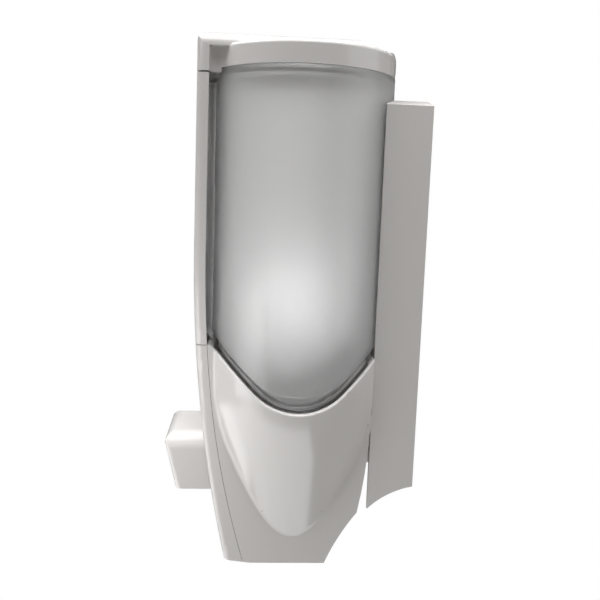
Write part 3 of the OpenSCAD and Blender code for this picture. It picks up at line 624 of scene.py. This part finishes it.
class DISPENSER_OT_stage(bpy.types.Operator):
    """Sets up the camera, the soft lights, the daylight and the pale floor"""

    bl_idname = "dispenser.stage"
    bl_label = "Stage"

    def add_light(self, name, at, towards, size, power, shown_by):
        deselect()
        bpy.ops.object.light_add(type="AREA", location=at)
        lamp = bpy.context.object
        lamp.name = name
        lamp.data.shape = "RECTANGLE"
        lamp.data.size, lamp.data.size_y = size
        lamp.data.energy = power
        lamp.rotation_mode = "QUATERNION"
        lamp.rotation_quaternion = (Vector(towards) - Vector(at)).to_track_quat("-Z", "Y")
        lamp.visible_camera = False
        lamp.visible_diffuse = "D" in shown_by
        lamp.visible_glossy = "G" in shown_by
        lamp.visible_transmission = "T" in shown_by

    def add_camera(self, scene, look):
        a, e = look.azimuth, look.elevation
        back = Vector((math.sin(a) * math.cos(e), -math.cos(a) * math.cos(e), math.sin(e)))
        deselect()
        bpy.ops.object.camera_add(location=Vector(look.aim) + back * look.distance)
        camera = bpy.context.object
        camera.name = "Camera"
        camera.data.sensor_width = 36.0
        camera.data.lens = look.lens
        camera.data.clip_start = 0.01
        camera.data.clip_end = 20.0
        camera.rotation_mode = "QUATERNION"
        turned = (-back).to_track_quat("-Z", "Y").to_matrix() @ Matrix.Rotation(look.roll, 3, "Z")
        camera.rotation_quaternion = turned.to_quaternion()
        scene.camera = camera

    def add_daylight(self, scene, look):
        """White where the camera sees past the dispenser, and dimmer daylight for the rest.

        Gloss sees the same daylight as the dull surfaces, and the frosted wall its own.
        """
        world = bpy.data.worlds.new("Daylight")
        scene.world = world
        world.use_nodes = True
        world.node_tree.nodes.clear()
        out = node(world, "ShaderNodeOutputWorld", (900, 0))
        tint = linear("FFFDFB")
        even = node(world, "ShaderNodeBackground", (0, 100), Color=tint, Strength=look.daylight)
        through = node(world, "ShaderNodeBackground", (0, -20), Color=tint, Strength=look.seen_through)
        white = node(world, "ShaderNodeBackground", (0, -140), Color=(1, 1, 1, 1), Strength=1.0)
        rays = node(world, "ShaderNodeLightPath", (-600, 200)).outputs
        behind = node(
            world,
            "ShaderNodeMixShader",
            (300, 0),
            {0: rays["Is Transmission Ray"], 1: even.outputs[0], 2: through.outputs[0]},
        )
        mix = node(
            world,
            "ShaderNodeMixShader",
            (600, 0),
            {0: rays["Is Camera Ray"], 1: behind.outputs[0], 2: white.outputs[0]},
        )
        world.node_tree.links.new(mix.outputs[0], out.inputs["Surface"])

    def add_floor(self, look):
        deselect()
        at = (0, 0, CAD_BOX[0][2] - look.floor_drop)
        bpy.ops.mesh.primitive_plane_add(size=FLOOR_SIZE, location=at)
        floor = bpy.context.object
        floor.name = "Floor"
        mat, out = new_material("Pale floor")
        paint = node(mat, "ShaderNodeBsdfDiffuse", (0, 100), Color=linear("F4F3F1"))
        glow = node(mat, "ShaderNodeEmission", (0, -100), Color=(1, 1, 1, 1), Strength=1.0)
        rays = node(mat, "ShaderNodeLightPath", (-600, 200)).outputs
        # the shadow shows near the dispenser, and the floor fades to white round it
        place = node(mat, "ShaderNodeTexCoord", (-1100, -100)).outputs["Object"]
        away = node(mat, "ShaderNodeVectorMath", (-900, -100), {0: place}, operation="LENGTH")
        fade = node(
            mat,
            "ShaderNodeMapRange",
            (-600, -100),
            {"Value": away.outputs["Value"]},
            interpolation_type="SMOOTHSTEP",
            From_Min=SHADOW_FADE[0],
            From_Max=SHADOW_FADE[1],
            To_Min=0.8,
            To_Max=1.0,
        )
        share = node(
            mat,
            "ShaderNodeMath",
            (-300, 200),
            {0: rays["Is Camera Ray"], 1: fade.outputs["Result"]},
            operation="MULTIPLY",
        )
        mix = node(
            mat,
            "ShaderNodeMixShader",
            (300, 0),
            {0: share.outputs[0], 1: paint.outputs[0], 2: glow.outputs[0]},
        )
        mat.node_tree.links.new(mix.outputs[0], out.inputs["Surface"])
        finish_with(floor, mat)

    def execute(self, context):
        look = context.scene.dispenser_stage
        self.add_camera(context.scene, look)
        for lamp in LIGHTS:
            self.add_light(*lamp)
        self.add_daylight(context.scene, look)
        self.add_floor(look)
        context.scene.view_settings.view_transform = "Standard"
        return {"FINISHED"}


class DISPENSER_PT_panel(bpy.types.Panel):
    """Lists the steps that finish the dispenser"""

    bl_idname = "DISPENSER_PT_panel"
    bl_label = "Soap dispenser"
    bl_space_type = "VIEW_3D"
    bl_region_type = "UI"
    bl_category = "Dispenser"

    def draw(self, context):
        layout = self.layout
        for step in STEPS:
            layout.operator(step.bl_idname)
        for group in (context.scene.dispenser_plastics, context.scene.dispenser_stage):
            box = layout.box()
            for key in group.__annotations__:
                box.prop(group, key)


STEPS = (
    DISPENSER_OT_white_shells,
    DISPENSER_OT_frosted_tank,
    DISPENSER_OT_pump,
    DISPENSER_OT_metal,
    DISPENSER_OT_stage,
)
CLASSES = (DispenserPlastics, DispenserStage, *STEPS, DISPENSER_PT_panel)


def register():
    for cls in CLASSES:
        bpy.utils.register_class(cls)
    bpy.types.Scene.dispenser_plastics = PointerProperty(type=DispenserPlastics)
    bpy.types.Scene.dispenser_stage = PointerProperty(type=DispenserStage)


def unregister():
    del bpy.types.Scene.dispenser_stage
    del bpy.types.Scene.dispenser_plastics
    for cls in reversed(CLASSES):
        bpy.utils.unregister_class(cls)


def main():
    register()
    bpy.ops.dispenser.white_shells()
    bpy.ops.dispenser.frosted_tank()
    bpy.ops.dispenser.pump()
    bpy.ops.dispenser.metal()
    bpy.ops.dispenser.stage()


if __name__ == "__main__":
    main()
